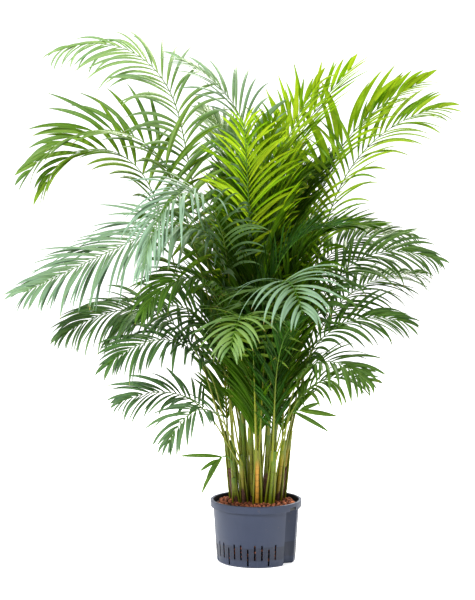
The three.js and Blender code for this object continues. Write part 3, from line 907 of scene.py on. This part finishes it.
def old_stalk(line, given, k):
    """A thin old leaf stalk that stands beside the cane and leans in to its top."""
    seed = given["Seed"] * 10.0 + float(k)
    share = node("SplineParameter")
    turn = one_chance(-0.5, 0.5, seed) + k * OLD_STALK_STEP
    away = given["Foot radius"] + mix(*OLD_STALK_GAPS, ramp(share, 0.2, 1.0))
    away = away * one_chance(0.75, 1.1, seed + 3.0)
    line = move(line, arrow(cosine(turn), sine(turn), 0.0) * away)
    line = keep(line, "share", share * 0.4)
    swept = sweep(line, ring(OLD_STALK_SIDES), mix(*OLD_STALK_RADII, share))
    return keep(swept, "old_stalk", 1.0)


def cane_tree():
    given = geometry_tree("cane", CANE_AMOUNTS)
    line = act(given["Geometry"], "MeshToCurve")
    line = act(line, "ResampleCurve", {"Count": CANE_RINGS})
    length = node("SplineParameter").out("Length")
    height = length - given["Buried"]
    radius, scar = cane_radius(given, height)
    place = node("InputPosition")
    wander = grain(place, 14.0, 1.0, 0.5)
    radius = radius * (0.94 + 0.12 * wander)
    stem = keep(keep(line, "scar", scar), "rise", height / given["Cane length"])
    section = ring(CANE_SIDES)
    stem = sweep(stem, section, radius)
    old_stalks = join(*(old_stalk(line, given, k) for k in range(OLD_STALKS)))

    up_to = given["Buried"] + given["Husk height"]
    wrap = act(line, "TrimCurve", {3: up_to}, mode="LENGTH")
    husk_share = node("SplineParameter")
    wrap = keep(wrap, "frayed", ramp(husk_share, 0.7, 1.0))
    loose = radius + given["Husk thickness"] * (1.1 - 0.7 * husk_share)
    fray = grain(place * (1.0, 1.0, 0.05), 420.0, 2.0, 0.5)
    fray = (fray - 0.62) * named("frayed") * FRAY_LENGTH
    wrap = move(sweep(wrap, section, loose), arrow(0.0, 0.0, fray))
    wrap = keep(wrap, "husk", 1.0)
    has_husk = over(given["Husk height"], 0.001)
    wrap = node("Switch", {"Switch": has_husk, "True": wrap}, input_type="GEOMETRY")
    both = keep(realize(join(stem, wrap, old_stalks)), "ripe", given["Ripe"])
    both = clad(both, given["Cane finish"])
    both = clad(both, given["Stalk finish"], marked("old_stalk"))
    return end_tree(clad(both, given["Husk finish"], marked("husk")))


cane_rule = cane_tree()
print("cane rule:", len(cane_rule.nodes), "nodes")

# %% Grow the canes
# how golden the cane is, the height and thickness of its dry husk, the step of its rings
CANE_LOOKS = {
    1: (1.0, 0, 0, 19), 2: (0.25, 50, 1.2, 26), 3: (0.05, 0, 0, 34), 4: (0.1, 95, 2, 36),
    5: (0.2, 30, 1.2, 30), 6: (0.0, 45, 1.2, 30), 7: (0.4, 40, 1.2, 28), 8: (0.1, 105, 3, 30),
    9: (0.0, 80, 3, 34), 10: (0.2, 130, 3.5, 38), 11: (0.1, 140, 3.5, 36),
    12: (0.45, 100, 2.5, 30), 13: (0.1, 120, 3.5, 32), 14: (0.2, 125, 3.5, 34),
    15: (0.3, 115, 3.5, 32), 16: (0.1, 30, 1.2, 20),
}
BURIED = 30.0


def grow_cane(number):
    _, _, height, foot = CANES[number - 1]
    ripe, husk, thickness, step = CANE_LOOKS[number]
    mesh = bpy.data.meshes.new("cane line")
    ends = [cane_at(number, FILL_CROWN - BURIED) * MM, cane_at(number, cane_top(number)) * MM]
    mesh.from_pydata(ends, [(0, 1)], [])
    name = f"cane_{number:02d}"
    piece = grow(name + "_stem", mesh, cane_rule, {
        "Seed": number, "Foot radius": foot * MM, "Buried": BURIED * MM,
        "Cane length": (ends[1] - ends[0]).length - BURIED * MM, "Ring step": step * MM,
        "Ripe": ripe, "Husk height": husk * MM, "Husk thickness": thickness * MM,
        "Cane finish": cane_material, "Husk finish": husk_material,
        "Stalk finish": stalk_material})
    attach(piece, "root")
    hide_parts(name)
    return piece


canes = [grow_cane(number) for number in range(1, len(CANES) + 1)]
print("canes:", len(canes), " faces:", sum(len(piece.data.polygons) for piece in canes))

# %% [markdown]
# ## Pot
# The pot is one thin moulding. A lathe profile gives its round wall, foot corner and
# turned-down lip. The gauge channel, the slots and the foot notches are then cut out, as a
# mould's cores would leave them out. The slots repeat, so a geometry tree sets out their
# cutters.

# %% Sizes of the pot, in millimetres
RIM, POT_HEIGHT, WALL, BASE = 140.0, 190.0, 2.0, 4.0
WALL_TOP, FOOT, FOOT_CORNER = 131.5, 121.0, 8.0
LIP_HEIGHT, LIP_WALL, LIP_TAPER = 22.0, 2.2, 1.0
CHANNEL_BEARING, CHANNEL_FLOOR = 57.0, 98.0
LIP_BOTTOM, FLANGE = POT_HEIGHT - LIP_HEIGHT, POT_HEIGHT - LIP_WALL
LIP_INSIDE = RIM - LIP_TAPER - LIP_WALL
CHANNEL_ROOF = LIP_BOTTOM + WALL
HOLE_BEARING, NOTCH_BEARING, NOTCH_HEIGHT, NOTCHES = 53.0, -10.5, 2.4, 6
LATHE_SIDES = 192


def wall_radius(height):
    slope = (WALL_TOP - FOOT) / (LIP_BOTTOM - FOOT_CORNER)
    return FOOT + slope * max(0.0, height - FOOT_CORNER)


def arc(x, z, radius, start, end, steps):
    turns = [math.radians(start + (end - start) * i / steps) for i in range(steps + 1)]
    return [(x + radius * math.cos(t), z + radius * math.sin(t)) for t in turns]


# %% Solids for the lathe and the knife
def solid(name, points, polygons):
    mesh = bpy.data.meshes.new(name)
    mesh.from_pydata([Vector(p) * MM for p in points], [], polygons)
    shape = bmesh.new()
    shape.from_mesh(mesh)
    bmesh.ops.recalc_face_normals(shape, faces=shape.faces)
    shape.to_mesh(mesh)
    shape.free()
    made = bpy.data.objects.new(name, mesh)
    scene.collection.objects.link(made)
    return made


def lathe(name, profile):
    """A closed solid of revolution. The profile starts and ends on the axis."""
    points, rings = [], []
    for radius, height in profile:
        count = LATHE_SIDES if radius > 0 else 1
        rings.append(range(len(points), len(points) + count))
        for i in range(count):
            turn = 2 * math.pi * i / LATHE_SIDES
            points.append((radius * math.cos(turn), radius * math.sin(turn), height))
    polygons = []
    for low, high in zip(rings, rings[1:]):
        for i in range(LATHE_SIDES):
            a, b = low[i % len(low)], low[(i + 1) % len(low)]
            c, d = high[(i + 1) % len(high)], high[i % len(high)]
            polygons.append(tuple(dict.fromkeys((a, b, c, d))))
    return solid(name, points, polygons)


def rectangle(half_width, middle, half_depth):
    near, far = middle - half_depth, middle + half_depth
    return [(-half_width, near), (half_width, near), (half_width, far), (-half_width, far)]


def prism(name, outline, bottom, top, bearing=0.0):
    """An upright prism of an outline given as (across, out) seen from the front."""
    turn = Matrix.Rotation(math.radians(bearing), 3, "Z")
    count = len(outline)
    points = [turn @ Vector((x, -out, z)) for z in (bottom, top) for x, out in outline]
    sides = [(i, (i + 1) % count, (i + 1) % count + count, i + count) for i in range(count)]
    return solid(name, points, [tuple(range(count)), tuple(range(count, 2 * count))] + sides)


def carve(piece, tool):
    knife = piece.modifiers.new("knife", "BOOLEAN")
    knife.object, knife.operation, knife.solver = tool, "DIFFERENCE", "MANIFOLD"
    settle(piece)
    bpy.data.objects.remove(tool)
    return piece


# %% The channel for a water gauge
def channel(wall, bottom, top):
    left, floor = -31.0 - wall, CHANNEL_FLOOR - wall
    flare = [(6, 0), (20, 11), (31, 30), (34, 60)]
    outline = [(left, floor + 60), (left, floor + 6), (left + 2, floor + 2), (left + 6, floor)]
    outline += [(across + wall, floor + out) for across, out in flare]
    return prism("channel", outline, bottom, top, CHANNEL_BEARING)


def inside(clearance, edge, top):
    floor = BASE + clearance
    radius = wall_radius(0) - WALL - clearance
    wall_end = wall_radius(edge) - WALL - clearance
    return lathe("inside", [(0, floor), (radius - 5, floor), (radius - 1.5, floor + 1.5),
                            (radius, floor + 5), (wall_end, edge)] + top)


# %% Turn the pot and cut its channel
outer = [(0, 0), (FOOT - FOOT_CORNER, 0)]
outer += arc(FOOT - FOOT_CORNER, FOOT_CORNER, FOOT_CORNER, -90, 0, 7)[1:]
outer += [(wall_radius(FLANGE) - 0.2, FLANGE - 1.5), (wall_radius(FLANGE) + 1, FLANGE)]
outer += [(LIP_INSIDE - 1, FLANGE), (LIP_INSIDE, FLANGE - 1), (LIP_INSIDE, LIP_BOTTOM + 0.5)]
outer += [(LIP_INSIDE + 0.5, LIP_BOTTOM), (RIM - LIP_TAPER - 0.6, LIP_BOTTOM)]
outer += [(RIM - LIP_TAPER, LIP_BOTTOM + 0.6)]
outer += arc(RIM - 1.3, POT_HEIGHT - 1.3, 1.3, 0, 90, 5) + [(0, POT_HEIGHT)]
pot = lathe("culture_pot_moulding", outer)
above = POT_HEIGHT + 1
rim_inside = wall_radius(POT_HEIGHT) - WALL
hollow = inside(0, POT_HEIGHT - 1.2, [(rim_inside + 1.2, POT_HEIGHT + 0.05),
                                      (rim_inside + 1.2, above), (0, above)])
carve(hollow, channel(WALL, -1, CHANNEL_ROOF))
carve(pot, hollow)
carve(pot, channel(0, -1, CHANNEL_ROOF - WALL))
hole = rectangle(15, RIM, 6.5)
carve(pot, prism("gauge hole", hole, LIP_BOTTOM - 1, LIP_BOTTOM + 11, HOLE_BEARING))
print("pot with channel:", len(pot.data.polygons), "faces")

# %% Set out the cutters of the slots
SLOT_AMOUNTS = {
    "Count": 36, "First bearing": -2.4, "Channel bearing": CHANNEL_BEARING,
    "Keep off": 26.0, "Width": 0.0050, "Reach": 0.042, "Radius": FOOT * MM,
    "High bottom": 0.024, "High top": 0.070, "Low bottom": 0.006, "Low top": 0.058,
}


def slot_tree():
    given = geometry_tree("slots", SLOT_AMOUNTS)
    index = node("InputIndex")
    bearing = given["First bearing"] + index * (360.0 / given["Count"])
    low = 1.0 - least(size_of(plain("FLOORED_MODULO", index, 3.0) - 2.0), 1.0)
    bottom = mix(given["High bottom"], given["Low bottom"], low)
    top = mix(given["High top"], given["Low top"], low)
    turn = radians(bearing)
    place = arrow(sine(turn) * given["Radius"], -cosine(turn) * given["Radius"],
                  (bottom + top) / 2.0)
    points = node("Points", {"Count": given["Count"], "Position": place})
    off = plain("WRAP", bearing - given["Channel bearing"], 180.0, -180.0)
    near = plain("LESS_THAN", size_of(off), given["Keep off"])
    points = keep(keep(points, "turn", turn), "high", top - bottom)
    points = act(points, "DeleteGeometry", {"Selection": near}, domain="POINT")
    box = node("MeshCube", {"Size": (1.0, 1.0, 1.0)})
    inputs = {"Points": points, "Instance": box,
              "Rotation": arrow(0.0, 0.0, named("turn")),
              "Scale": arrow(given["Width"], given["Reach"], named("high"))}
    return end_tree(realize(node("InstanceOnPoints", inputs)))


slots = grow("slot cutters", bpy.data.meshes.new("empty"), slot_tree(), {})
print("slot cutters:", len(slots.data.polygons) // 6)
carve(pot, slots)

# %% Cut the foot notches and dress the pot
for k in range(NOTCHES):
    bearing = NOTCH_BEARING + k * 360 / NOTCHES
    carve(pot, prism("notch", rectangle(16, FOOT, 9), -1, NOTCH_HEIGHT, bearing))
pot.data.materials.clear()
pot.data.materials.append(pot_material)
pot.data.shade_smooth()
pot.data.set_sharp_from_angle(angle=math.radians(32))
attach(pot, "root")
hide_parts("culture_pot")

# %% [markdown]
# ## Clay granules
# The fill is thousands of loose granules, but only those on top and behind the slots are
# ever seen. A body a little smaller than the fill stands for the rest, painted near-black
# as painted shade in the gaps between granules. A geometry tree scatters lumpy granules
# over its top and over the band behind the slots, each at least a set distance from the
# next, so they lie side by side as real ones do. Each granule is painted lighter where it
# faces up and darker where it faces down, and the lower layer darker still, as painted
# light and shade.

# %% The granules' rule
GRANULE_AMOUNTS = {"Seed": 7, "Smallest": 0.0050, "Largest": 0.0071, "Step": 0.0116,
                   "Band top": 0.078, "Clay finish": ""}
BULGE = 0.0035


def granule():
    cube = node("MeshCube", {"Vertices X": 4, "Vertices Y": 4, "Vertices Z": 4})
    place = unit(node("InputPosition"))
    return act(cube, "SetPosition", {"Position": place})


def scatter(body, where, given, seed, sunk, lit):
    inputs = {"Mesh": body, "Selection": where, "Distance Min": given["Step"],
              "Density Max": 60000.0, "Seed": given["Seed"] + seed}
    points = node("DistributePointsOnFaces", inputs, distribute_method="POISSON")
    points = move(points, points.out("Normal") * -sunk)
    size = chance(given["Smallest"], given["Largest"], given["Seed"] + seed)
    # Painted light: each layer carries its own painted light share.
    points = keep(keep(points, "size", size), "painted_light", lit)
    points = keep(points, "tone", chance(0.0, 1.0, seed + 11))
    spin = node("FunctionNodeRandomValue",
                {"Max": (6.28, 6.28, 6.28), "Seed": given["Seed"] + seed},
                data_type=ARROW)
    stretch = node("FunctionNodeRandomValue",
                   {"Min": (0.82, 0.82, 0.7), "Max": (1.15, 1.1, 0.95), "Seed": seed + 5},
                   data_type=ARROW)
    inputs = {"Points": points, "Instance": granule(), "Rotation": spin,
              "Scale": stretch * named("size")}
    return node("InstanceOnPoints", inputs)


def granule_tree():
    given = geometry_tree("clay granules", GRANULE_AMOUNTS)
    body = given["Geometry"]
    normal = parts(node("InputNormal"))[2]
    place = node("InputPosition")
    height = parts(place)[2]
    on_top = over(normal, 0.6)
    band = plain("LESS_THAN", size_of(normal), 0.3)
    band = band * plain("LESS_THAN", height, given["Band top"])
    # Painted shade: the lower layer gets a small painted light share, so it is painted darker,
    # and the band behind the slots a larger one.
    lumps = join(scatter(body, on_top, given, 1, -0.0025, 1.0),
                 scatter(body, on_top, given, 2, 0.0025, 0.25),
                 scatter(body, band, given, 3, -0.001, 1.6))
    bulge = grain(place, 95.0, 2.0, 0.5)
    push = node("InputNormal") * ((bulge - 0.5) * BULGE)
    lumps = act(move(realize(lumps), push), "SetShadeSmooth")
    # Painted light and shade: granules are painted lighter where they face up and darker where
    # they face down.
    shaded = 0.2 + 0.8 * ramp(parts(node("InputNormal"))[2], -0.3, 0.6)
    lumps = keep(lumps, "painted_light", least(named("painted_light") * shaded, 1.0))
    both = realize(join(lumps, body))
    return end_tree(clad(both, given["Clay finish"]))


# %% Pour the granules
# The body is cut at a few heights in metres, so that its side has faces behind the slots.
CLEARANCE, SUNK, BAND_CUTS = 7.5, 1.5, (0.030, 0.055, 0.078)
dark_top = [(70.0, FILL_EDGE + 5.5), (0, FILL_CROWN - SUNK)]
body = inside(CLEARANCE, FILL_EDGE + 3.0, dark_top)
carve(body, channel(WALL + 4.0, -1, CHANNEL_ROOF - 3.0))
bands = bmesh.new()
bands.from_mesh(body.data)
for height in BAND_CUTS:
    geometry = list(bands.verts) + list(bands.edges) + list(bands.faces)
    bmesh.ops.bisect_plane(bands, geom=geometry, plane_co=(0, 0, height), plane_no=(0, 0, 1))
bands.to_mesh(body.data)
bands.free()
fill = grow("granules_fill", body.data, granule_tree(), {"Clay finish": clay_material})
bpy.data.objects.remove(body)
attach(fill, "root")
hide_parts("clay_granules")
print("fill:", len(fill.data.polygons), "faces")

# %% [markdown]
# ## Floor and light
# A white floor that curves up into a wall has no line behind the plant. One large soft
# light from the upper left models the blades, a weaker one fills the right, and one from
# above and behind shines through the top fronds. The rest comes from a pale sky all round.

# %% Floor
FLOOR_SIDE, FLOOR_FRONT, FLOOR_CURVE, BACKDROP, FLOOR_GLOW = 24.0, -18.0, 6.0, 18.0, 0.55


def sweep_floor():
    """A strip that runs back, curves up with the curve's radius and ends as a wall."""
    turns = [math.radians(angle) for angle in range(0, 91, 10)]
    profile = [(FLOOR_FRONT, 0.0)]
    profile += [(FLOOR_CURVE * (1 + math.sin(t)), FLOOR_CURVE * (1 - math.cos(t)))
                for t in turns]
    profile += [(2 * FLOOR_CURVE, BACKDROP)]
    points = [(x, y, z) for y, z in profile for x in (-FLOOR_SIDE, FLOOR_SIDE)]
    quads = [(2 * i, 2 * i + 1, 2 * i + 3, 2 * i + 2) for i in range(len(profile) - 1)]
    mesh = bpy.data.meshes.new("floor")
    mesh.from_pydata(points, [], quads)
    mesh.shade_smooth()
    floor = bpy.data.objects.new("floor", mesh)
    scene.collection.objects.link(floor)
    material, shader = finish("floor paper")
    coat(shader, (0.9, 0.9, 0.9, 1.0), 0.9)
    shader.inputs["Emission Color"].default_value = (1.0, 1.0, 1.0, 1.0)
    shader.inputs["Emission Strength"].default_value = FLOOR_GLOW
    mesh.materials.append(material)
    floor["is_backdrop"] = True
    return floor


sweep_floor()


# %% Lights
SKY_STRENGTH = 0.34


def soft_light(name, place, target, size, power, tint=(1.0, 1.0, 1.0)):
    lamp = bpy.data.lights.new(name, "AREA")
    lamp.shape, lamp.size, lamp.energy, lamp.color = "DISK", size, power, tint
    made = bpy.data.objects.new(name, lamp)
    made.location = place
    aim = Vector(target) - Vector(place)
    made.rotation_euler = aim.to_track_quat("-Z", "Y").to_euler()
    scene.collection.objects.link(made)


soft_light("key", (-2.6, -3.0, 3.4), (0, 0, 0.9), 1.2, 230)
soft_light("fill", (3.2, -2.6, 1.8), (0, 0, 0.8), 2.0, 25)
soft_light("through", (0.8, 2.4, 3.6), (0, 0, 1.1), 1.8, 230, (1.0, 0.98, 0.9))

world = bpy.data.worlds.new("sky")
world.use_nodes = True
sky = next(n for n in world.node_tree.nodes if n.type == "BACKGROUND")
sky.inputs["Color"].default_value = (1.0, 1.0, 1.0, 1.0)
sky.inputs["Strength"].default_value = SKY_STRENGTH
scene.world = world
scene.view_settings.view_transform = "Standard"
scene.view_settings.look = "Medium High Contrast"
print("lights are set")

# %% [markdown]
# ## Sizes of the finished pieces
# The box of the finished pieces is printed beside the fixed model's box, axis by axis.

# %% Sizes and finish
visual_box = [list(corner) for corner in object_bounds()]
for axis, letter in enumerate("xyz"):
    fixed = fixed_box[1][axis] - fixed_box[0][axis]
    drawn = visual_box[1][axis] - visual_box[0][axis]
    print(letter, "fixed", round(fixed, 4), "drawn", round(drawn, 4))
